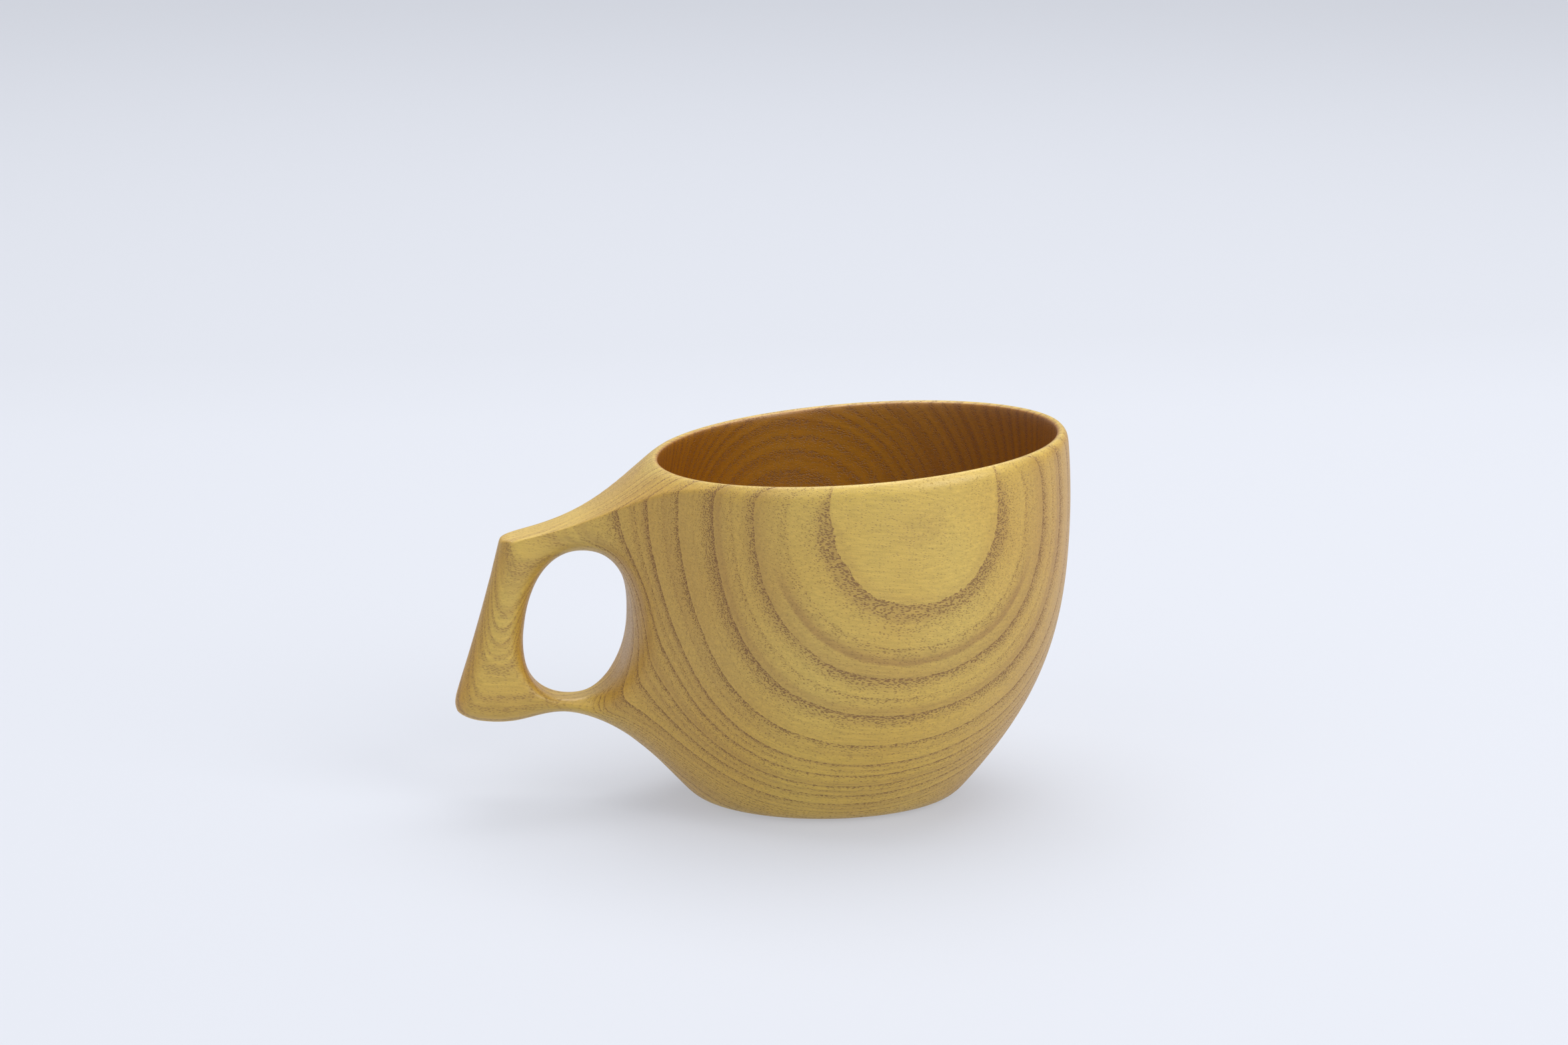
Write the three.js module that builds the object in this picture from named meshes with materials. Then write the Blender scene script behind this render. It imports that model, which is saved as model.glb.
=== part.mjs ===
// A drinking cup carved from one block of golden hardwood. An oval bowl stands on a small flat foot,
// leans a little away from its handle and opens in a tilted oval mouth. The handle is the same wood:
// a flat blade that grows out of the wall, pierced by a slanted finger hole, and cut off on top by one
// long falling facet that runs from the lip to the nose.
//
// X runs along the cup with the handle on the low side, Z is up, and the origin is the middle of the
// foot on the table. The cup is the same on both sides of the XZ plane.

import * as THREE from "three";
import { mergeVertices } from "three/addons/utils/BufferGeometryUtils.js";

// Foot and bowl, in millimetres
const footLength = 54.8;
const footWidth = 45.1;
const footRound = 2.6;
const bellyLength = 89.7;
const bellyWidth = 85.8;
const bellyHeight = 60; // the widest part of the wall
const swellHeight = 75.2; // the wall swells over this height
const wallFullness = 3.6; // a higher power swells the wall sooner above the foot
const rimTuck = 0.6; // how far the wall draws in again between the belly and the rim
const bowlLean = 6.2; // the middle of the mouth lies this far ahead of the middle of the foot
const leanDelay = 2.05; // a higher power keeps the lower wall over the foot for longer

// Mouth and hollow
const rimHeight = 75.6; // at the middle of the mouth
const rimTilt = 4.1; // degrees, rising away from the handle
const mouthLength = 83.2;
const mouthWidth = 78.6;
const lipRound = 1.9; // outer edge of the lip
const mouthRound = 1.2; // inner edge of the lip
const thinLipShare = 0.4; // each round takes at most this share of the lip's width
const floorThickness = 7.5;
const hollowLean = 2.5; // where the lowest point of the hollow lies ahead of the foot
const hollowFullness = 3.6; // a higher power keeps the hollow wide further down
const hollowRoundness = 2.4; // a higher power flattens the floor

// Handle, seen from the side: distances from the middle of the foot and heights
const noseReach = 68.9;
const noseHeight = 57.4;
const heelReach = 78.9;
const heelHeight = 23.1;
const soleReach = 68.6; // lowest point of the handle
const soleHeight = 17.9;
const bridgeReach = 52; // from here inward the underside runs level into the bowl
const bridgeHeight = 20.9;
const edgeHollow = 1.4; // how far the outer edge is drawn in between nose and heel
const heelFullness = 1.2; // pull of the heel's curve beyond its corner
const soleFullness = 2.3; // pull of the sole's curve before it rises to the bridge
const gripThickness = 10.2;
const gripRound = 5;
const rootBlend = 26.7; // how widely the blade flows into the bowl
const rootAngle = Math.PI / 7; // the root spreads this far round the bowl on each side
const rootDrop = 12; // and starts this far below the bridge

// Finger hole
const fingerWidth = 21.8;
const fingerHeight = 31.4;
const fingerReach = 53;
const fingerRise = 38.8;
const fingerSlant = 0.09; // sideways shift for each millimetre of height
const fingerTaper = 0.06; // the hole is this share narrower at its top, and wider at its bottom
const fingerSquareness = 2.3;
const fingerRound = 5;
const bridgeRound = 1.9; // on the thin bridge under the hole

// Facet on top of the handle
const facetDrop = 14.3; // how far it falls below the rim in the end
const facetFall = 12.6; // the length over which most of the fall happens
const facetStart = 1.5; // where the fall begins, outside the edge of the mouth

// Counts of rows and columns in the surface
const rootColumns = 5; // on each side of the handle, where it meets foot and mouth
const bowlColumns = 33;
const footRows = 4;
const lowRows = 4; // between the foot and the root of the handle
const wallRows = 22;
const hollowRows = 15;
const facetSteps = 11;
const outlineSteps = 28; // along the underside and the outer edge of the handle
const tunnelRings = 4; // from the middle of the finger hole to the face of the handle
const faceRings = 6;

// How finely curves are followed before the surface's own points are chosen
const curvePoints = 12; // for each curve of the handle's outline
const fingerPoints = 64;
const linePoints = 200;
const halvings = 32;

const woodColour = 0xc09a4e;

// The bowl, the handle and the finger hole as distances: below zero is inside

function wallAt(height) {
  const left = Math.max(0, 1 - height / swellHeight);
  const swell = 1 - left ** wallFullness;
  const swellSlope = (wallFullness * left ** (wallFullness - 1)) / swellHeight;
  const tuck = rimTuck * (Math.max(0, height - bellyHeight) / (rimHeight - bellyHeight)) ** 2;
  return {
    centre: bowlLean * swell ** leanDelay,
    halfLength: footLength / 2 + ((bellyLength - footLength) / 2) * swell - tuck,
    halfWidth: footWidth / 2 + ((bellyWidth - footWidth) / 2) * swell - tuck,
    slope: (swellSlope * (bellyLength - footLength)) / 2,
  };
}

function ovalDistance(along, across, halfLength, halfWidth) {
  const scaled = Math.hypot(along / halfLength, across / halfWidth);
  const steepness = Math.hypot(along / halfLength ** 2, across / halfWidth ** 2);
  return steepness > 0 ? (scaled * (scaled - 1)) / steepness : -halfWidth;
}

function bowlDistance(x, y, z) {
  const wall = wallAt(Math.max(z, 0));
  return ovalDistance(x - wall.centre, y, wall.halfLength, wall.halfWidth) / Math.hypot(1, wall.slope);
}

// Signed distance in the side view to a closed outline
function outlineDistance(outline, x, z) {
  let nearest = Infinity;
  let inside = false;
  for (let i = 0, j = outline.length - 1; i < outline.length; j = i, i += 1) {
    const a = outline[i];
    const b = outline[j];
    const edgeX = b.x - a.x;
    const edgeZ = b.y - a.y;
    const share = ((x - a.x) * edgeX + (z - a.y) * edgeZ) / (edgeX * edgeX + edgeZ * edgeZ);
    const clamped = Math.min(1, Math.max(0, share));
    nearest = Math.min(nearest, Math.hypot(x - a.x - edgeX * clamped, z - a.y - edgeZ * clamped));
    if (a.y > z !== b.y > z && x < a.x + (edgeX * (z - a.y)) / edgeZ) {
      inside = !inside;
    }
  }
  return inside ? -nearest : nearest;
}

function handleOutline() {
  const aboveRim = rimHeight + facetDrop;
  const edgeSlope = (heelReach - noseReach) / (noseHeight - heelHeight);
  const middleHeight = (noseHeight + heelHeight) / 2;
  const middleReach = (noseReach + heelReach) / 2;
  const bendReach = (soleReach + bridgeReach) / 2;
  const shape = new THREE.Shape();
  shape.moveTo(0, aboveRim);
  shape.lineTo(-noseReach + edgeSlope * (aboveRim - noseHeight), aboveRim);
  shape.lineTo(-noseReach, noseHeight);
  shape.quadraticCurveTo(-middleReach + edgeHollow, middleHeight + edgeHollow, -heelReach, heelHeight);
  shape.quadraticCurveTo(-heelReach - heelFullness, soleHeight, -soleReach, soleHeight);
  shape.bezierCurveTo(-bendReach - soleFullness, soleHeight, -bendReach, bridgeHeight, -bridgeReach, bridgeHeight);
  shape.lineTo(0, bridgeHeight);
  return shape.getPoints(curvePoints);
}

function fingerOutline() {
  const points = [];
  for (let i = 0; i < fingerPoints; i += 1) {
    const turn = (2 * Math.PI * i) / fingerPoints;
    const power = 2 / fingerSquareness;
    const along = Math.sign(Math.cos(turn)) * Math.abs(Math.cos(turn)) ** power;
    const up = Math.sign(Math.sin(turn)) * Math.abs(Math.sin(turn)) ** power;
    const rise = (up * fingerHeight) / 2;
    const halfWidth = (fingerWidth / 2) * (1 - fingerTaper * up);
    points.push(new THREE.Vector2(along * halfWidth + rise * fingerSlant - fingerReach, fingerRise + rise));
  }
  return points;
}

// Where two solids share space, with a round of this radius along their common edge
function roundedOverlap(a, b, radius) {
  const corner = Math.hypot(Math.max(a + radius, 0), Math.max(b + radius, 0));
  return Math.min(Math.max(a, b), -radius) + corner;
}

// Two solids joined, with a hollow curve that reaches this far from their meeting line
function blendedUnion(a, b, reach) {
  const overlap = Math.max(reach - Math.abs(a - b), 0) / reach;
  return Math.min(a, b) - (overlap * overlap * reach) / 4;
}

const handleSide = handleOutline();
const fingerSide = fingerOutline();

function outerDistance(x, y, z) {
  const blade = roundedOverlap(outlineDistance(handleSide, x, z), Math.abs(y) - gripThickness / 2, gripRound);
  const underTable = -z - lipRound;
  return Math.max(blendedUnion(bowlDistance(x, y, z), blade, rootBlend), underTable);
}

// The edge of the finger hole is rounded less toward the thin bridge
function woodDistance(x, y, z) {
  const share = THREE.MathUtils.smoothstep(z, fingerRise - fingerHeight / 2, fingerRise);
  const round = bridgeRound + (fingerRound - bridgeRound) * share;
  return roundedOverlap(outerDistance(x, y, z), -outlineDistance(fingerSide, x, z), round);
}

// The top of the wood: the tilted plane of the rim, falling away outside the mouth to form the facet

function rimPlane(x) {
  return rimHeight + Math.tan(THREE.MathUtils.degToRad(rimTilt)) * (x - bowlLean);
}

function topHeight(x, y) {
  const outside = ovalDistance(x - bowlLean, y, mouthLength / 2, mouthWidth / 2) - facetStart;
  if (outside <= 0) {
    return rimPlane(x);
  }
  const eased = (outside * outside) / (outside + facetStart);
  return rimPlane(x) - facetDrop * (1 - Math.exp(-eased / facetFall));
}

// The bowl's surface is walked in upright half planes that all hold the axis of the mouth. In each one,
// rays from a point on that axis meet the outside of the wood once.

const eye = new THREE.Vector3(bowlLean, 0, rimHeight / 2);
const farAway = heelReach + bellyLength + rimHeight;
const closeEnough = 1e-7;
const strideShare = 0.7; // of the distance still to go
const mostStrides = 400;

function walkIn(distance, start, direction) {
  let travelled = 0;
  const point = start.clone();
  for (let stride = 0; stride < mostStrides && travelled < farAway; stride += 1) {
    const gap = distance(point.x, point.y, point.z);
    if (gap < closeEnough) {
      break;
    }
    travelled += gap * strideShare;
    point.copy(start).addScaledVector(direction, travelled);
  }
  return point;
}

function columnDirection(angle, elevation) {
  const flat = Math.cos(elevation);
  return new THREE.Vector3(-Math.cos(angle) * flat, -Math.sin(angle) * flat, Math.sin(elevation));
}

function outsidePoint(angle, elevation) {
  const outward = columnDirection(angle, elevation);
  const start = eye.clone().addScaledVector(outward, farAway);
  return walkIn(outerDistance, start, outward.negate());
}

// The elevation at which a column's outside point first passes a rising test
function elevationWhere(angle, low, high, test) {
  let from = low;
  let to = high;
  for (let step = 0; step < halvings; step += 1) {
    const middle = (from + to) / 2;
    if (test(outsidePoint(angle, middle)) > 0) {
      to = middle;
    } else {
      from = middle;
    }
  }
  return (from + to) / 2;
}

const steepest = Math.PI * 0.45;

function topElevation(angle) {
  return elevationWhere(angle, 0, steepest, (p) => p.z - topHeight(p.x, p.y));
}

// Helpers for fine polylines

function shares(count) {
  return Array.from({ length: count + 1 }, (_, i) => i / count);
}

function lineOf(from, to, count, place) {
  return shares(count).map((share) => place(from + (to - from) * share));
}

// Even steps along a line. With a pull, in millimetres for each radian of turning, the steps are
// shorter where the line bends.
function spread(line, count, startLength = 0, endLength = 0, pull = 0) {
  const lengths = [0];
  for (let i = 1; i < line.length; i += 1) {
    const step = line[i].clone().sub(line[i - 1]);
    const next = line[Math.min(i + 1, line.length - 1)].clone().sub(line[i]);
    const bend = next.length() > 0 && step.length() > 0 ? step.angleTo(next) : 0;
    lengths.push(lengths[i - 1] + step.length() + bend * pull);
  }
  const total = lengths[lengths.length - 1];
  return shares(count).map((share) => {
    const wanted = startLength + share * (total - startLength - endLength);
    let i = 1;
    while (i < line.length - 1 && lengths[i] < wanted) {
      i += 1;
    }
    const part = (wanted - lengths[i - 1]) / (lengths[i] - lengths[i - 1]);
    return line[i - 1].clone().lerp(line[i], part);
  });
}

// Moves a point onto the surface of the wood, in steps of at most a millimetre
const longestStep = 1;
const settleRounds = 16;
const feeler = 1e-3;
const leastSlope = 0.2;

function settle(p) {
  for (let round = 0; round < settleRounds; round += 1) {
    const gap = woodDistance(p.x, p.y, p.z);
    if (Math.abs(gap) < closeEnough) {
      break;
    }
    const slope = new THREE.Vector3(
      woodDistance(p.x + feeler, p.y, p.z) - gap,
      woodDistance(p.x, p.y + feeler, p.z) - gap,
      woodDistance(p.x, p.y, p.z + feeler) - gap,
    ).divideScalar(feeler);
    const step = THREE.MathUtils.clamp(gap, -longestStep, longestStep);
    p.addScaledVector(slope, -step / Math.max(slope.lengthSq(), leastSlope));
  }
  return p;
}

// One column of the bowl. The rows run from the middle of the foot over the lip to the bottom of the
// hollow; where the handle grows out of the wall a column has no wall rows.

const rootHeight = bridgeHeight - rootDrop;

function hollowLine(angle) {
  const turn = Math.atan2(Math.sin(angle) / mouthWidth, Math.cos(angle) / mouthLength);
  const along = (-Math.cos(turn) * mouthLength) / 2;
  const across = (-Math.sin(turn) * mouthWidth) / 2;
  const rim = rimPlane(bowlLean + along);
  return lineOf(0, 1, linePoints, (share) => {
    const depth = Math.sin((share * Math.PI) / 2);
    const narrow = Math.max(0, 1 - depth ** hollowFullness) ** (1 / hollowRoundness);
    const centre = bowlLean + (hollowLean - bowlLean) * depth;
    return new THREE.Vector3(centre + along * narrow, across * narrow, rim + (floorThickness - rim) * depth);
  });
}

// Three points round a corner, from fully soft to crisp
function corner(before, edge, after, crispness) {
  const soft = before.clone().add(after).multiplyScalar(0.25).addScaledVector(edge, 0.5);
  return [before, soft.lerp(edge, crispness), after];
}

function column(angle, hasWall) {
  const flat = columnDirection(angle, 0);
  const footStart = new THREE.Vector3(eye.x, 0, 0).addScaledVector(flat, farAway);
  const footEdge = walkIn(outerDistance, footStart, flat.clone().negate());
  const bottom = Math.atan2(-eye.z, Math.hypot(footEdge.x - eye.x, footEdge.y));
  const top = topElevation(angle);
  const root = elevationWhere(angle, bottom, top, (p) => p.z - rootHeight);
  const place = (elevation) => outsidePoint(angle, elevation);

  const footMiddle = new THREE.Vector3(eye.x, 0, 0);
  const footShare = 1 - footRound / footEdge.distanceTo(footMiddle);
  const foot = shares(footRows).map((share) => footMiddle.clone().lerp(footEdge, footShare * share));
  const low = spread(lineOf(bottom, root, linePoints, place), lowRows, footRound);
  const footCorner = corner(foot[footRows], footEdge, low[0], 0);

  const hollow = spread(hollowLine(angle), hollowRows, mouthRound);
  const mouthEdge = hollowLine(angle)[0];
  const topEdge = place(top);
  const ledge = topEdge.distanceTo(mouthEdge);
  const onTop = (share) => {
    const p = topEdge.clone().lerp(mouthEdge, share);
    p.z = topHeight(p.x, p.y);
    return p;
  };
  const lipShare = Math.min(lipRound / ledge, thinLipShare);
  const mouthShare = Math.min(mouthRound / ledge, thinLipShare);
  const beforeMouth = onTop(1 - mouthShare);
  const mouthCorner = corner(beforeMouth, mouthEdge, hollow[0], 0);
  const below = [...foot.slice(0, -1), ...footCorner, ...low.slice(1)];
  const inside = [...mouthCorner, ...hollow.slice(1)];
  if (!hasWall) {
    const gap = Array.from({ length: wallRows + 3 }, () => null);
    return [...below, ...gap, ...inside];
  }

  const crispness = 1 - THREE.MathUtils.smoothstep(angle, rootAngle, rootAngle * 2);
  const wall = spread(lineOf(root, top, linePoints, place), wallRows, 0, lipRound);
  const afterEdge = onTop(lipShare);
  const lipCorner = corner(wall[wallRows], topEdge, afterEdge, crispness);
  const lipMiddle = onTop((1 + lipShare - mouthShare) / 2);
  return [...below, ...wall.slice(1, -1), ...lipCorner, lipMiddle, ...inside];
}

const columnAngles = [
  ...shares(rootColumns).map((share) => rootAngle * share),
  ...shares(bowlColumns).slice(1).map((share) => rootAngle + (Math.PI - rootAngle) * share),
];
const grid = columnAngles.map((angle, c) => column(angle, c >= rootColumns));
const lastColumn = grid.length - 1;
const lastRow = grid[0].length - 1;
const rootRow = footRows + 2 + lowRows;
const edgeRow = rootRow + wallRows + 1;
const mouthRow = edgeRow + 3;
for (const edge of [0, lastColumn]) {
  for (const p of grid[edge]) {
    if (p) {
      p.y = 0;
    }
  }
}
for (const c of grid) {
  c[0].copy(grid[0][0]);
  c[lastRow].copy(grid[0][lastRow]);
}

// The handle is a ring of quads round the finger hole. Its outer loop runs from the nose along the crisp
// front edge of the facet, down the root, and back along the underside and the outer edge to the nose.

const fingerCentre = new THREE.Vector2(-fingerReach, fingerRise);
const bendPull = 8;

function handleProfile(from, to) {
  const turnTo = (p) => Math.atan2(p.z - fingerCentre.y, p.x - fingerCentre.x);
  const start = turnTo(from);
  const finish = turnTo(to) - (turnTo(to) > start ? 2 * Math.PI : 0);
  return lineOf(start, finish, linePoints, (turn) => {
    const outward = new THREE.Vector3(Math.cos(turn), 0, Math.sin(turn));
    const begin = new THREE.Vector3(fingerCentre.x, 0, fingerCentre.y).addScaledVector(outward, farAway);
    return walkIn(outerDistance, begin, outward.negate());
  });
}

const facetEdge = lineOf(0, rootAngle, linePoints, (angle) => outsidePoint(angle, topElevation(angle)));
facetEdge[0].y = 0;
const edgeLength = facetEdge.slice(1).reduce((sum, p, i) => sum + p.distanceTo(facetEdge[i]), 0);
const noseLength = edgeLength / 10; // the part of the crisp edge that bends round the nose
const nose = facetEdge[0];
const keel = grid[0][rootRow];
const facetRows = mouthRow - edgeRow;
const facetColumns = facetSteps + rootColumns;

function edgeAt(length) {
  return spread(facetEdge, 1, length)[0];
}

function outerLoop() {
  const loop = [nose];
  for (let k = 1; k < facetRows; k += 1) {
    loop.push(edgeAt((noseLength * k) / facetRows));
  }
  for (let c = 0; c < facetColumns; c += 1) {
    loop.push(edgeAt(noseLength + ((edgeLength - noseLength) * c) / facetColumns));
  }
  for (let r = edgeRow; r > rootRow; r -= 1) {
    loop.push(grid[rootColumns][r]);
  }
  for (let c = rootColumns; c > 0; c -= 1) {
    loop.push(grid[c][rootRow]);
  }
  const outline = spread(handleProfile(keel, nose), outlineSteps, 0, 0, bendPull).slice(0, -1);
  outline.forEach((p) => {
    settle(p).y = 0;
  });
  outline[0] = keel;
  return [...loop, ...outline];
}

const outer = outerLoop();
const spokes = outer.length;
const outerRing = tunnelRings + faceRings;
const spokeAfter = (i) => (i + 1) % spokes;
const spokeBefore = (i) => (i + spokes - 1) % spokes;

function holeEdge(turn) {
  const direction = new THREE.Vector2(Math.cos(turn), Math.sin(turn));
  let inside = 0;
  let outside = fingerHeight;
  for (let step = 0; step < halvings; step += 1) {
    const middle = (inside + outside) / 2;
    const p = fingerCentre.clone().addScaledVector(direction, middle);
    if (outlineDistance(fingerSide, p.x, p.y) < 0) {
      inside = middle;
    } else {
      outside = middle;
    }
  }
  return fingerCentre.clone().addScaledVector(direction, outside);
}

// The direction of each spoke from the middle of the hole, partly straight to its outer end and partly
// an even share of the full turn
const directShare = 0.45;

function spokeTurns() {
  const turns = [];
  for (const p of outer) {
    let turn = Math.atan2(p.z - fingerCentre.y, p.x - fingerCentre.x);
    if (turns.length > 0) {
      const last = turns[turns.length - 1];
      if (turn > last + Math.PI) {
        turn -= 2 * Math.PI;
      }
      turn = Math.min(turn, last);
    }
    turns.push(turn);
  }
  return turns.map((turn, i) => {
    const even = turns[0] - (2 * Math.PI * i) / spokes;
    return turn * directShare + even * (1 - directShare);
  });
}

function faceHalfWidth(x, z) {
  const start = new THREE.Vector3(x, -farAway, z);
  return -walkIn(woodDistance, start, new THREE.Vector3(0, 1, 0)).y;
}

// First guess of a spoke: through the finger hole, then over the face of the handle
function spoke(i, turn) {
  const edge = holeEdge(turn);
  const end = outer[i];
  const away = new THREE.Vector2(end.x, end.z).sub(edge);
  const depth = Math.min(away.length() / 2, fingerRound);
  const pivot = edge.clone().addScaledVector(away.clone().normalize(), depth);
  const halfWidth = faceHalfWidth(pivot.x, pivot.y);
  const line = [];
  for (let k = 0; k < tunnelRings; k += 1) {
    const lean = (Math.PI / 2) * (k / tunnelRings);
    const flat = pivot.clone().lerp(edge, Math.cos(lean));
    line.push(new THREE.Vector3(flat.x, -halfWidth * Math.sin(lean), flat.y));
  }
  for (let k = 0; k < faceRings; k += 1) {
    const lean = (Math.PI / 2) * (k / faceRings);
    const flat = pivot.clone().lerp(new THREE.Vector2(end.x, end.z), Math.sin(lean));
    line.push(new THREE.Vector3(flat.x, end.y + (-halfWidth - end.y) * Math.cos(lean), flat.y));
  }
  return [...line, end];
}

const spokeLines = spokeTurns().map((turn, i) => spoke(i, turn));

// The facet's own quads, with the crisp edge in front and at the nose, the XZ plane and the mouth behind,
// and the first column with a wall at the other end

function mix(a, b, share) {
  return a.clone().lerp(b, share);
}

function facetPatch() {
  const mouthEnd = grid[0][mouthRow];
  const middleLine = lineOf(nose.x, mouthEnd.x, linePoints, (x) => new THREE.Vector3(x, 0, topHeight(x, 0)));
  const mouthLine = grid.slice(0, rootColumns + 1).map((c) => c[mouthRow]);
  const behind = [nose, ...spread(middleLine, facetSteps).slice(1, -1), ...mouthLine];
  const front = outer.slice(facetRows, facetRows + facetColumns + 1);
  const atNose = outer.slice(0, facetRows + 1).reverse();
  const atWall = grid[rootColumns].slice(edgeRow, mouthRow + 1);
  return behind.map((back, c) =>
    atNose.map((left, k) => {
      if (c === 0 || c === facetColumns) {
        return c === 0 ? left : atWall[k];
      }
      if (k === 0 || k === facetRows) {
        return k === 0 ? front[c] : back;
      }
      const along = c / facetColumns;
      const across = k / facetRows;
      const frontEnds = mix(front[0], front[facetColumns], along);
      const backEnds = mix(behind[0], behind[facetColumns], along);
      const ends = mix(frontEnds, backEnds, across);
      return mix(front[c], back, across).add(mix(left, atWall[k], along)).sub(ends);
    }),
  );
}

const facet = facetPatch();

// The first guesses are evened out between their neighbours and brought onto the surface
const relaxRounds = 30;

function relax(p, ...around) {
  const mean = around.reduce((sum, q) => sum.add(q), new THREE.Vector3()).divideScalar(around.length);
  return p.add(mean).divideScalar(2);
}

for (const line of spokeLines) {
  settle(line[0]).y = 0;
}
for (let round = 0; round < relaxRounds; round += 1) {
  for (let i = 0; i < spokes; i += 1) {
    const [before, line, after] = [spokeLines[spokeBefore(i)], spokeLines[i], spokeLines[spokeAfter(i)]];
    for (let k = 1; k < outerRing; k += 1) {
      settle(relax(line[k], line[k - 1], line[k + 1], before[k], after[k]));
    }
  }
  for (let c = 1; c < facetColumns; c += 1) {
    for (let k = 1; k < facetRows; k += 1) {
      const p = relax(facet[c][k], facet[c][k - 1], facet[c][k + 1], facet[c - 1][k], facet[c + 1][k]);
      p.z = topHeight(p.x, p.y);
    }
  }
}

// Quads of the near half, and their mirror images for the far half

const positions = [];
const triangles = [];

function addVertex(p, side) {
  positions.push(p.x, p.y * side, p.z);
  return positions.length / 3 - 1;
}

function addQuad(a, b, c, d, side) {
  const corners = side > 0 ? [a, b, c, d] : [d, c, b, a];
  triangles.push(corners[0], corners[1], corners[2], corners[0], corners[2], corners[3]);
}

// Quads between neighbouring lines of points, except where a point is missing
function addSheet(lines, side) {
  const numbers = lines.map((line) => line.map((p) => (p ? addVertex(p, side) : null)));
  for (let i = 0; i + 1 < numbers.length; i += 1) {
    for (let k = 0; k + 1 < numbers[i].length; k += 1) {
      const corners = [numbers[i][k], numbers[i + 1][k], numbers[i + 1][k + 1], numbers[i][k + 1]];
      if (!corners.includes(null)) {
        addQuad(...corners, side);
      }
    }
  }
}

for (const side of [1, -1]) {
  addSheet(grid, side);
  addSheet([...spokeLines, spokeLines[0]], side);
  addSheet(facet, side);
}

// Corners that meet on the XZ plane and at the two poles are joined, and flat triangles dropped
function closedGeometry() {
  const raw = new THREE.BufferGeometry();
  raw.setAttribute("position", new THREE.Float32BufferAttribute(positions, 3));
  raw.setIndex(triangles);
  const merged = mergeVertices(raw, 1e-4);
  const index = merged.getIndex().array;
  const kept = [];
  for (let i = 0; i < index.length; i += 3) {
    const [a, b, c] = [index[i], index[i + 1], index[i + 2]];
    if (a !== b && b !== c && c !== a) {
      kept.push(a, b, c);
    }
  }
  merged.setIndex(kept);
  merged.computeVertexNormals();
  return merged;
}

const wood = new THREE.MeshStandardMaterial({ color: woodColour, roughness: 0.5, metalness: 0 });
const cup = new THREE.Mesh(closedGeometry(), wood);
cup.name = "cup";

const model = new THREE.Group();
model.add(cup);
export default model;
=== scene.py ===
from math import radians

import bmesh
import bpy
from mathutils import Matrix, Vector


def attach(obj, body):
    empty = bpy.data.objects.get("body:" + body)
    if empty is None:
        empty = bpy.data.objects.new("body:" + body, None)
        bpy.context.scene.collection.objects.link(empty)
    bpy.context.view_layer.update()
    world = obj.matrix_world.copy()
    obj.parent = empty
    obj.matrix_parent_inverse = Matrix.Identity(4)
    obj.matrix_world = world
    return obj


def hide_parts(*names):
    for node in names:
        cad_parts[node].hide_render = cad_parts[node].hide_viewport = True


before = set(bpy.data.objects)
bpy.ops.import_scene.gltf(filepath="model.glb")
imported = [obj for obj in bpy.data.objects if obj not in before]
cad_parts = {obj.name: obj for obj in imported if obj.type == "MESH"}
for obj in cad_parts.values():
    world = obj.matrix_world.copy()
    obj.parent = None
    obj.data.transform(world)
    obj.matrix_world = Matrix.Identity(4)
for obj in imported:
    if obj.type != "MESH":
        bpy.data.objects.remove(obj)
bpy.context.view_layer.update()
print("frame loaded")


# The camera stands a little to the left of the cup and looks down at it

camera = {
    "place": (-0.1145, -0.7486, 0.2292),
    "aim": (-0.0085, 0.0052, 0.0576),
    "lens": 85,
    "sensor": 36,
    "near": 0.01,
    "far": 20,
}


def addAimed(name, data, place, aim):
    holder = bpy.data.objects.new(name, data)
    holder.location = place
    look = Vector(aim) - Vector(place)
    holder.rotation_euler = look.to_track_quat("-Z", "Y").to_euler()
    bpy.context.collection.objects.link(holder)
    return holder


def addCamera(facts):
    data = bpy.data.cameras.new("camera")
    data.lens = facts["lens"]
    data.sensor_width = facts["sensor"]
    data.clip_start = facts["near"]
    data.clip_end = facts["far"]
    bpy.context.scene.camera = addAimed("camera", data, facts["place"], facts["aim"])


addCamera(camera)
print("camera placed")


# Small helpers for shader trees. A range is from low, from high, to low, to high.

def addNode(tree, kind, sockets=None, **settings):
    node = tree.nodes.new(kind)
    for name, value in settings.items():
        setattr(node, name, value)
    for socket, value in (sockets or {}).items():
        if isinstance(value, bpy.types.NodeSocket):
            tree.links.new(value, node.inputs[socket])
        else:
            node.inputs[socket].default_value = value
    return node


def calc(tree, operation, *values):
    node = addNode(tree, "ShaderNodeMath", dict(enumerate(values)), operation=operation)
    return node.outputs[0]


def product(tree, first, *others):
    for other in others:
        first = calc(tree, "MULTIPLY", first, other)
    return first


def remap(tree, value, fromLow, fromHigh, toLow=0.0, toHigh=1.0, smooth=False):
    kind = "SMOOTHSTEP" if smooth else "LINEAR"
    sockets = {0: value, 1: fromLow, 2: fromHigh, 3: toLow, 4: toHigh}
    node = addNode(tree, "ShaderNodeMapRange", sockets, interpolation_type=kind)
    return node.outputs[0]


def mixed(tree, share, first, second):
    node = addNode(tree, "ShaderNodeMix", {0: share, 2: first, 3: second}, data_type="FLOAT")
    return node.outputs[0]


def blend(tree, share, first, second, blendType="MIX"):
    node = addNode(tree, "ShaderNodeMix", data_type="RGBA", blend_type=blendType)
    for socket, value in ((0, share), (6, first), (7, second)):
        if isinstance(value, bpy.types.NodeSocket):
            tree.links.new(value, node.inputs[socket])
        else:
            node.inputs[socket].default_value = (*value, 1) if socket > 0 else value
    return node.outputs[2]


def tinted(tree, colour, tint):
    return blend(tree, 1.0, colour, tint, "MULTIPLY")


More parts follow.
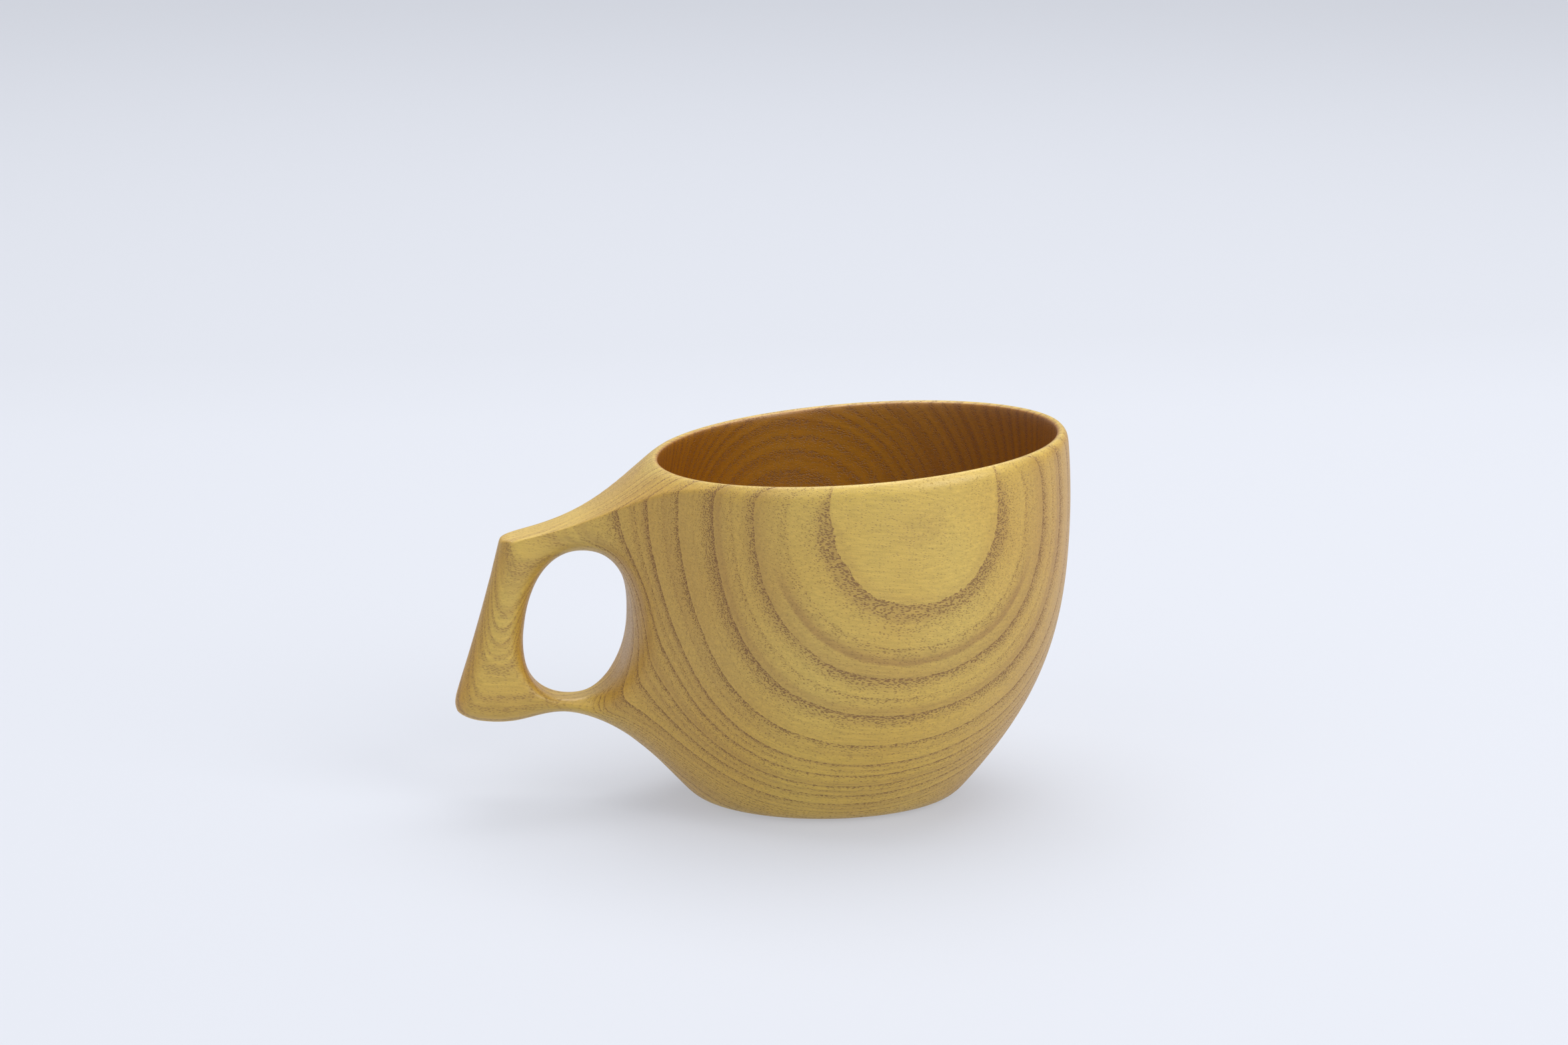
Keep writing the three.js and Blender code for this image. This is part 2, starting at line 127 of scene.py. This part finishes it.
def noise(tree, place, scale, detail=2.0, roughness=0.5):
    sockets = {"Vector": place, "Scale": scale, "Detail": detail, "Roughness": roughness}
    return addNode(tree, "ShaderNodeTexNoise", sockets).outputs[0]


def cells(tree, place, scale):
    return addNode(tree, "ShaderNodeTexVoronoi", {"Vector": place, "Scale": scale}).outputs


def ramp(tree, value, stops):
    node = addNode(tree, "ShaderNodeValToRGB", {0: value})
    points = node.color_ramp.elements
    while len(points) < len(stops):
        points.new(1.0)
    for point, (place, level) in zip(points, stops):
        point.position = place
        point.color = (level, level, level, 1)
    return node.outputs[0]


def split(tree, place):
    return addNode(tree, "ShaderNodeSeparateXYZ", {0: place}).outputs


def stretched(tree, place, factors):
    node = addNode(tree, "ShaderNodeVectorMath", {0: place, 1: factors}, operation="MULTIPLY")
    return node.outputs[0]


def attribute(tree, name):
    return addNode(tree, "ShaderNodeAttribute", attribute_name=name).outputs["Fac"]


# Growth rings. The layers stand nearly upright and face the front, and the blade of the handle
# has a tilt of its own. Lengths are in millimetres, and a layer's depth is largest at the front.

toMillimetres = 1000.0

rings = {
    "frontX": 10,
    "frontZ": 60,
    "lean": 0.109,  # rise in depth for each millimetre along X
    "tilt": 0.08,  # and up Z
    "bend": 70,
    "frontBend": 0.8,
    "frontSag": -0.00336,
    "backZ": 48,
    "backBend": -0.5,
    "backSag": 0.0075,
    "frontToBack": (-5, 30),
    "gripZ": 41.9,
    "gripTilt": 0.28,
    "gripDepth": 3.95,
    "bowlToGrip": (-46, -60),
    "unevenness": ((0.02, 1.0, 0.4), (0.1, 2.0, 0.18), (1.4, 1.0, 0.1)),  # scale, detail, reach
    "deepest": 50,
    "shallowest": -55,
    "starts": (
        45.2, 41.3, 36.4, 32.0, 27.2, 23.3, 20.6, 17.8, 15.1, 12.3, 9.0, 8.2, 7.4, 6.6,
        6.1, 4.1, 3.4, 0.9, -2.1, -4.9, -8.4, -11.3, -14.1, -16.8, -19.3, -21.5, -23.6, -25.3,
        -27.0, -28.6, -29.9, -31.1, -32.4, -33.5, -34.7, -36.2, -37.4, -38.8, -40.9, -45.4, -48.0, -52.0,
    ),
}


def bowlDepth(tree, x, y, z):
    across = calc(tree, "SUBTRACT", x, rings["frontX"])
    up = calc(tree, "SUBTRACT", z, rings["frontZ"])
    backUp = calc(tree, "SUBTRACT", z, rings["backZ"])
    toBack = remap(tree, y, *rings["frontToBack"], smooth=True)
    squares = calc(tree, "MULTIPLY_ADD", across, across, rings["bend"] ** 2)
    bent = calc(tree, "SUBTRACT", calc(tree, "SQRT", squares), rings["bend"])
    bent = product(tree, bent, mixed(tree, toBack, rings["frontBend"], rings["backBend"]))
    leaning = calc(tree, "MULTIPLY_ADD", across, rings["lean"], bent)
    tilted = calc(tree, "MULTIPLY_ADD", up, rings["tilt"], leaning)
    frontSag = product(tree, up, up, rings["frontSag"])
    backSag = product(tree, backUp, backUp, rings["backSag"])
    sagging = calc(tree, "ADD", tilted, mixed(tree, toBack, frontSag, backSag))
    return calc(tree, "SUBTRACT", sagging, y)


def gripDepth(tree, y, z):
    up = calc(tree, "SUBTRACT", z, rings["gripZ"])
    tilted = calc(tree, "MULTIPLY_ADD", up, rings["gripTilt"], rings["gripDepth"])
    return calc(tree, "SUBTRACT", tilted, y)


def layerDepth(tree, place, onGrip):
    x, y, z = split(tree, place)
    depth = mixed(tree, onGrip, bowlDepth(tree, x, y, z), gripDepth(tree, y, z))
    for scale, detail, reach in rings["unevenness"]:
        waves = remap(tree, noise(tree, place, scale, detail), 0, 1, -reach, reach)
        depth = calc(tree, "ADD", depth, waves)
    return depth


def ringCount(tree, depth):
    deepest = rings["deepest"]
    shallowest = rings["shallowest"]
    starts = rings["starts"]
    total = len(starts) + 1
    node = addNode(tree, "ShaderNodeFloatCurve", {1: remap(tree, depth, deepest, shallowest)})
    mapping = node.mapping
    curve = mapping.curves[0]
    for number, start in enumerate(starts, 1):
        curve.points.new((deepest - start) / (deepest - shallowest), number / total)
    for point in curve.points:
        point.handle_type = "VECTOR"
    mapping.update()
    return product(tree, node.outputs[0], total)


# The island of late wood at the front runs on over the rounded lip

island = {
    "middleX": 11.5,
    "aside": (18.0, 14.0),
    "lipZ": (66, 70.5),
    "ownDepth": (36.0, 38.5),
    "lift": 4.6,
    "topDepth": 42.6,
}


def islandOverLip(tree, place, depth):
    x, _, z = split(tree, place)
    aside = calc(tree, "ABSOLUTE", calc(tree, "SUBTRACT", x, island["middleX"]))
    near = remap(tree, aside, *island["aside"], smooth=True)
    high = remap(tree, z, *island["lipZ"], smooth=True)
    own = remap(tree, depth, *island["ownDepth"], smooth=True)
    lift = product(tree, attribute(tree, "lip"), high, near, island["lift"])
    lifted = calc(tree, "MULTIPLY_ADD", lift, own, depth)
    return calc(tree, "MAXIMUM", depth, calc(tree, "MINIMUM", lifted, island["topDepth"]))


# How strong the early wood is across one ring, from its start to its end. Some rings have a
# fainter second line, and the grip and the inside have soft bands.

earlyWood = {
    "plain": ((0.0, 1.0), (0.05, 0.85), (0.2, 0.5), (0.45, 0.2), (0.75, 0.05), (1.0, 0.0)),
    "double": (
        (0.0, 1.0), (0.05, 0.8), (0.18, 0.35), (0.4, 0.12),
        (0.46, 0.1), (0.5, 0.55), (0.6, 0.3), (1.0, 0.0),
    ),
    "soft": ((0.0, 0.5), (0.2, 0.62), (0.45, 0.3), (0.7, 0.06), (0.85, 0.14), (1.0, 0.5)),
    "gripSoftness": 0.75,
    "insideSoftness": 0.7,
    "patchScale": 0.05,
    "patchDetail": 3.0,
    "patches": (0.25, 0.7, 0.6, 1.1),
    "halfway": 0.5,
    "turn": (0, 0.5, 1.0, 0.35),
}


def bandSoftness(tree, onGrip):
    grip = product(tree, onGrip, earlyWood["gripSoftness"])
    inside = product(tree, attribute(tree, "inside"), earlyWood["insideSoftness"])
    return calc(tree, "MAXIMUM", grip, inside)


def earlyStrength(tree, place, count, softness, onGrip):
    share = calc(tree, "FRACT", count)
    number = calc(tree, "FLOOR", count)
    chance = addNode(tree, "ShaderNodeTexWhiteNoise", {"W": number}, noise_dimensions="1D").outputs[0]
    lines = [ramp(tree, share, earlyWood[kind]) for kind in ("plain", "double", "soft")]
    patches = noise(tree, place, earlyWood["patchScale"], earlyWood["patchDetail"])
    crisp = product(tree, mixed(tree, chance, *lines[:2]), remap(tree, patches, *earlyWood["patches"]))
    early = mixed(tree, softness, crisp, lines[2])
    # Where the bowl's layers turn into the grip's, the lines fade
    turning = calc(tree, "PINGPONG", onGrip, earlyWood["halfway"])
    return product(tree, early, remap(tree, turning, *earlyWood["turn"], smooth=True))


# Under the island lies a smooth brown band with no pores, sharp at its lower edge

brownBand = {
    "depth": 37.6,
    "softEdge": (1.1, 0.1, 0.0, 0.62),
    "sharpEdge": (-0.2, 0.1),
    "fadeZ": (62, 48),
}


def brownBandStrength(tree, place, depth):
    before = calc(tree, "SUBTRACT", depth, brownBand["depth"])
    soft = remap(tree, before, *brownBand["softEdge"], smooth=True)
    sharp = remap(tree, before, *brownBand["sharpEdge"], smooth=True)
    low = remap(tree, split(tree, place)[2], *brownBand["fadeZ"], smooth=True)
    return product(tree, soft, sharp, low)


# Pores and fibres run with the grain, nearly along X. The ranges read the early wood's strength.

pores = {
    "rise": radians(-6),
    "perMillimetre": (1.25, 3.7, 3.7),
    "chance": (0, 0.5, 0.4, 1.0),
    "size": (0, 0.8, 0.26, 0.48),
    "rim": (-0.08, 0.08),
    "shade": (0, 0.5, 0.45, 1.0),
    "fineScale": 1.7,
    "fineSize": (0.18, 0.36, 1.0, 0.0),
    "fineShade": 0.28,
    "softened": (0, 1, 1.0, 0.45),
}

fibres = {"perMillimetre": (0.12, 2.2, 2.2), "detail": 3.0, "roughness": 0.6}


def alongGrain(tree, place):
    sockets = {"Vector": place, "Rotation": (0, pores["rise"], 0)}
    return addNode(tree, "ShaderNodeMapping", sockets, vector_type="POINT").outputs[0]


def poreStrength(tree, grain, early, softness):
    squeezed = stretched(tree, grain, pores["perMillimetre"])
    largeCells = cells(tree, squeezed, 1.0)
    lot = addNode(tree, "ShaderNodeSeparateColor", {0: largeCells["Color"]}).outputs[0]
    chosen = calc(tree, "LESS_THAN", lot, remap(tree, early, *pores["chance"]))
    fromRim = calc(tree, "SUBTRACT", remap(tree, early, *pores["size"]), largeCells["Distance"])
    hole = remap(tree, fromRim, *pores["rim"], smooth=True)
    large = product(tree, hole, chosen, remap(tree, early, *pores["shade"]))
    fineCells = cells(tree, squeezed, pores["fineScale"])
    fineHole = remap(tree, fineCells["Distance"], *pores["fineSize"], smooth=True)
    both = calc(tree, "MAXIMUM", large, product(tree, fineHole, pores["fineShade"]))
    return product(tree, both, remap(tree, softness, *pores["softened"]))


def fibreStrength(tree, grain):
    along = stretched(tree, grain, fibres["perMillimetre"])
    return noise(tree, along, 1.0, fibres["detail"], fibres["roughness"])


# The wood's colours, each a base or a tint over it

wood = {
    "light": (0.62, 0.44, 0.092),
    "warm": (0.565, 0.345, 0.05),
    "brown": (0.31, 0.16, 0.038),
    "pore": (0.16, 0.068, 0.024),
    # painted light: the low tint makes the lower body warmer, redder and less blue
    "paintedLowWarmth": (1.06, 1.0, 0.66),
    "endGrainTint": (0.88, 0.73, 0.54),
    # painted shade: the inside's darker, more orange tint
    "paintedInsideShade": (0.58, 0.355, 0.028),
    "cloudScale": 0.035,
    "clouds": (0.3, 0.7, 0.05, 0.5),
    "paintedLowWarmthZ": (42, 4),
    "yearScale": 0.42,
    "yearDetail": 3.0,
    "yearRoughness": 0.6,
    "years": (0.42, 0.75, 0.0, 0.4),
    "earlyShade": 0.52,
    "streaks": (0.2, 0.8, 0.8, 1.16),
    "poreShade": 0.72,
    "endGrain": (0.25, 1.0),
    "gloss": (0, 1, 0.38, 0.7),  # roughness of the plain wood and of a pore
    "refraction": 1.6,
    "fibreHeight": 0.25,
    "poreHeight": -1.0,
    "reliefDepth": 0.00012,  # in metres
    "reliefStrength": 0.6,
}


def yearTone(tree, depth):
    sockets = {
        "W": depth,
        "Scale": wood["yearScale"],
        "Detail": wood["yearDetail"],
        "Roughness": wood["yearRoughness"],
    }
    tone = addNode(tree, "ShaderNodeTexNoise", sockets, noise_dimensions="1D").outputs[0]
    return remap(tree, tone, *wood["years"])


def woodColour(tree, place, depth, early, holes, grainLines):
    clouds = remap(tree, noise(tree, place, wood["cloudScale"]), *wood["clouds"])
    colour = blend(tree, clouds, wood["light"], wood["warm"])
    # Painted light: towards the bottom the colour gets warmer, redder and less blue
    low = remap(tree, split(tree, place)[2], *wood["paintedLowWarmthZ"], smooth=True)
    colour = blend(tree, low, colour, tinted(tree, colour, wood["paintedLowWarmth"]))
    colour = blend(tree, yearTone(tree, depth), colour, wood["brown"])
    colour = blend(tree, product(tree, early, wood["earlyShade"]), colour, wood["brown"])
    colour = blend(tree, brownBandStrength(tree, place, depth), colour, wood["brown"])
    colour = tinted(tree, colour, remap(tree, grainLines, *wood["streaks"]))
    colour = blend(tree, product(tree, holes, wood["poreShade"]), colour, wood["pore"])
    # End grain drinks more oil and is darker, and the inside gets a painted shade, darker and more orange
    ends = remap(tree, attribute(tree, "ends"), *wood["endGrain"], smooth=True)
    colour = blend(tree, ends, colour, tinted(tree, colour, wood["endGrainTint"]))
    return blend(tree, attribute(tree, "inside"), colour, tinted(tree, colour, wood["paintedInsideShade"]))


def makeWood():
    material = bpy.data.materials.new("oiled ring porous wood")
    material.use_nodes = True
    tree = material.node_tree
    shader = tree.nodes["Principled BSDF"]
    metres = addNode(tree, "ShaderNodeTexCoord").outputs["Object"]
    place = stretched(tree, metres, (toMillimetres, toMillimetres, toMillimetres))
    onGrip = remap(tree, split(tree, place)[0], *rings["bowlToGrip"], smooth=True)
    depth = islandOverLip(tree, place, layerDepth(tree, place, onGrip))
    softness = bandSoftness(tree, onGrip)
    early = earlyStrength(tree, place, ringCount(tree, depth), softness, onGrip)
    grain = alongGrain(tree, place)
    holes = poreStrength(tree, grain, early, softness)
    grainLines = fibreStrength(tree, grain)
    colour = woodColour(tree, place, depth, early, holes, grainLines)
    sunk = product(tree, holes, wood["poreHeight"])
    relief = calc(tree, "MULTIPLY_ADD", grainLines, wood["fibreHeight"], sunk)
    sockets = {"Height": relief, "Distance": wood["reliefDepth"], "Strength": wood["reliefStrength"]}
    bump = addNode(tree, "ShaderNodeBump", sockets)
    tree.links.new(colour, shader.inputs["Base Color"])
    tree.links.new(remap(tree, holes, *wood["gloss"]), shader.inputs["Roughness"])
    tree.links.new(bump.outputs[0], shader.inputs["Normal"])
    shader.inputs["IOR"].default_value = wood["refraction"]
    return material


woodMaterial = makeWood()
print("wood made")


# The cup: one piece, carved from the block. Lengths are in metres.

cup = {
    "node": "cup",
    "slot": "wood",
    "mergeWithin": 1e-6,
    "joinAngle": radians(180),  # any two triangles may become one face
    "creaseAngle": radians(38),  # sharper edges are the facet's and the lip's
    "creaseAbove": 0.045,
    "crease": 0.42,
    "touch": 1e-5,  # what lies lower than this is the foot's flat
    "footCrease": 0.7,
    "levels": 2,
    "middleX": 0.0062,
    "handleEnd": -0.0375,
    "inwards": 0.25,
    "floorUp": 0.5,
    "floorReach": 0.03,
    "floorTop": 0.06,
    "lipFrom": -0.12,
    "lipSlope": 3,
}


def creaseEdges(form, facts):
    crease = form.edges.layers.float.new("crease_edge")
    for edge in form.edges:
        high = min(corner.co.z for corner in edge.verts) > facts["creaseAbove"]
        if high and edge.is_manifold and edge.calc_face_angle() > facts["creaseAngle"]:
            edge[crease] = facts["crease"]
        onTable = max(corner.co.z for corner in edge.verts) < facts["touch"]
        if onTable and max(face.calc_center_median().z for face in edge.link_faces) > facts["touch"]:
            edge[crease] = facts["footCrease"]


def isInside(corner, facts):
    outwards = Vector((corner.co.x - facts["middleX"], corner.co.y, 0))
    inwards = -outwards.normalized().dot(corner.normal)
    wall = inwards > facts["inwards"] and corner.co.x > facts["handleEnd"]
    low = outwards.length < facts["floorReach"] and corner.co.z < facts["floorTop"]
    return wall or (low and corner.normal.z > facts["floorUp"])


def markSurface(form, facts):
    inside = form.verts.layers.float.new("inside")
    ends = form.verts.layers.float.new("ends")
    lip = form.verts.layers.float.new("lip")
    for corner in form.verts:
        corner[inside] = 1.0 if isInside(corner, facts) else 0.0
        corner[ends] = abs(corner.normal.x)
        onLip = corner.co.z > facts["creaseAbove"] and corner.co.x > facts["handleEnd"]
        upturned = (corner.normal.z - facts["lipFrom"]) * facts["lipSlope"]
        corner[lip] = min(1, max(0, upturned)) if onLip else 0.0


def makeCup(facts):
    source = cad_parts[facts["node"]]
    form = bmesh.new()
    form.from_mesh(source.data)
    form.transform(source.matrix_world)
    bmesh.ops.remove_doubles(form, verts=form.verts, dist=facts["mergeWithin"])
    joinAngle = facts["joinAngle"]
    bmesh.ops.join_triangles(
        form, faces=form.faces, angle_face_threshold=joinAngle, angle_shape_threshold=joinAngle
    )
    bmesh.ops.recalc_face_normals(form, faces=form.faces)
    creaseEdges(form, facts)
    markSurface(form, facts)
    for face in form.faces:
        face.smooth = True
    print("faces", len(form.faces), "with four corners", sum(len(face.verts) == 4 for face in form.faces))
    mesh = bpy.data.meshes.new("cup carved")
    form.to_mesh(mesh)
    form.free()
    mesh.materials.append(woodMaterial)
    piece = bpy.data.objects.new("cup_carved", mesh)
    bpy.context.collection.objects.link(piece)
    smoothing = piece.modifiers.new("smoothing", "SUBSURF")
    smoothing.levels = facts["levels"]
    smoothing.render_levels = facts["levels"]
    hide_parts(facts["node"])
    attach(piece, "root")


makeCup(cup)
print("cup made")


# A pale sweep under and behind the cup. It glows as if lit from below, so that the shadow stays
# pale, and a painted shade makes it a little darker near the cup than far behind it.

sweep = {
    "side": 12,
    "colour": (0.30, 0.311, 0.338),
    "glow": (0.40, 0.413, 0.452),
    "glowStrength": 1.0,
    "roughness": 0.7,
    "shine": 0.2,
    "shades": ((0.0, 0.92), (0.04, 0.92), (0.075, 0.89), (0.13, 0.9), (0.5, 1.0)),
    "shadesY": (0.25, 4.25),
}


def addSweep(facts):
    material = bpy.data.materials.new("pale sweep")
    material.use_nodes = True
    tree = material.node_tree
    shader = tree.nodes["Principled BSDF"]
    place = addNode(tree, "ShaderNodeTexCoord").outputs["Object"]
    shade = ramp(tree, remap(tree, split(tree, place)[1], *facts["shadesY"]), facts["shades"])
    tree.links.new(tinted(tree, facts["colour"], shade), shader.inputs["Base Color"])
    tree.links.new(tinted(tree, facts["glow"], shade), shader.inputs["Emission Color"])
    shader.inputs["Emission Strength"].default_value = facts["glowStrength"]
    shader.inputs["Roughness"].default_value = facts["roughness"]
    shader.inputs["Specular IOR Level"].default_value = facts["shine"]
    form = bmesh.new()
    bmesh.ops.create_grid(form, x_segments=1, y_segments=1, size=facts["side"] / 2)
    mesh = bpy.data.meshes.new("sweep")
    form.to_mesh(mesh)
    form.free()
    mesh.materials.append(material)
    ground = bpy.data.objects.new("sweep", mesh)
    bpy.context.collection.objects.link(ground)


addSweep(sweep)
print("sweep laid")


# The studio's soft lights: one from the right, a wide one overhead, a weak one from the left

lightAim = (0, 0, 0.04)
warmWhite = (1, 0.985, 0.96)

lights = (
    {"name": "key", "place": (1.05, -1.1, 1.12), "side": 1.1, "power": 16.5, "colour": warmWhite},
    {"name": "top", "place": (0.2, 0.4, 1.6), "side": 1.8, "power": 33, "colour": (1, 1, 1)},
    {"name": "fill", "place": (-1.2, -1.1, 1.4), "side": 1.2, "power": 5, "colour": warmWhite},
)

room = {"colour": (0.93, 0.955, 1.0), "strength": 0.5}


def addLight(facts):
    data = bpy.data.lights.new(facts["name"], "AREA")
    data.shape = "RECTANGLE"
    data.size = facts["side"]
    data.size_y = facts["side"]
    data.energy = facts["power"]
    data.color = facts["colour"]
    addAimed(facts["name"], data, facts["place"], lightAim)


def addRoom(facts):
    world = bpy.data.worlds.new("studio")
    world.use_nodes = True
    background = world.node_tree.nodes["Background"]
    background.inputs["Color"].default_value = (*facts["colour"], 1)
    background.inputs["Strength"].default_value = facts["strength"]
    bpy.context.scene.world = world


for light in lights:
    addLight(light)
addRoom(room)
bpy.context.scene.view_settings.view_transform = "Standard"
print("stage lit")

bpy.context.view_layer.update()
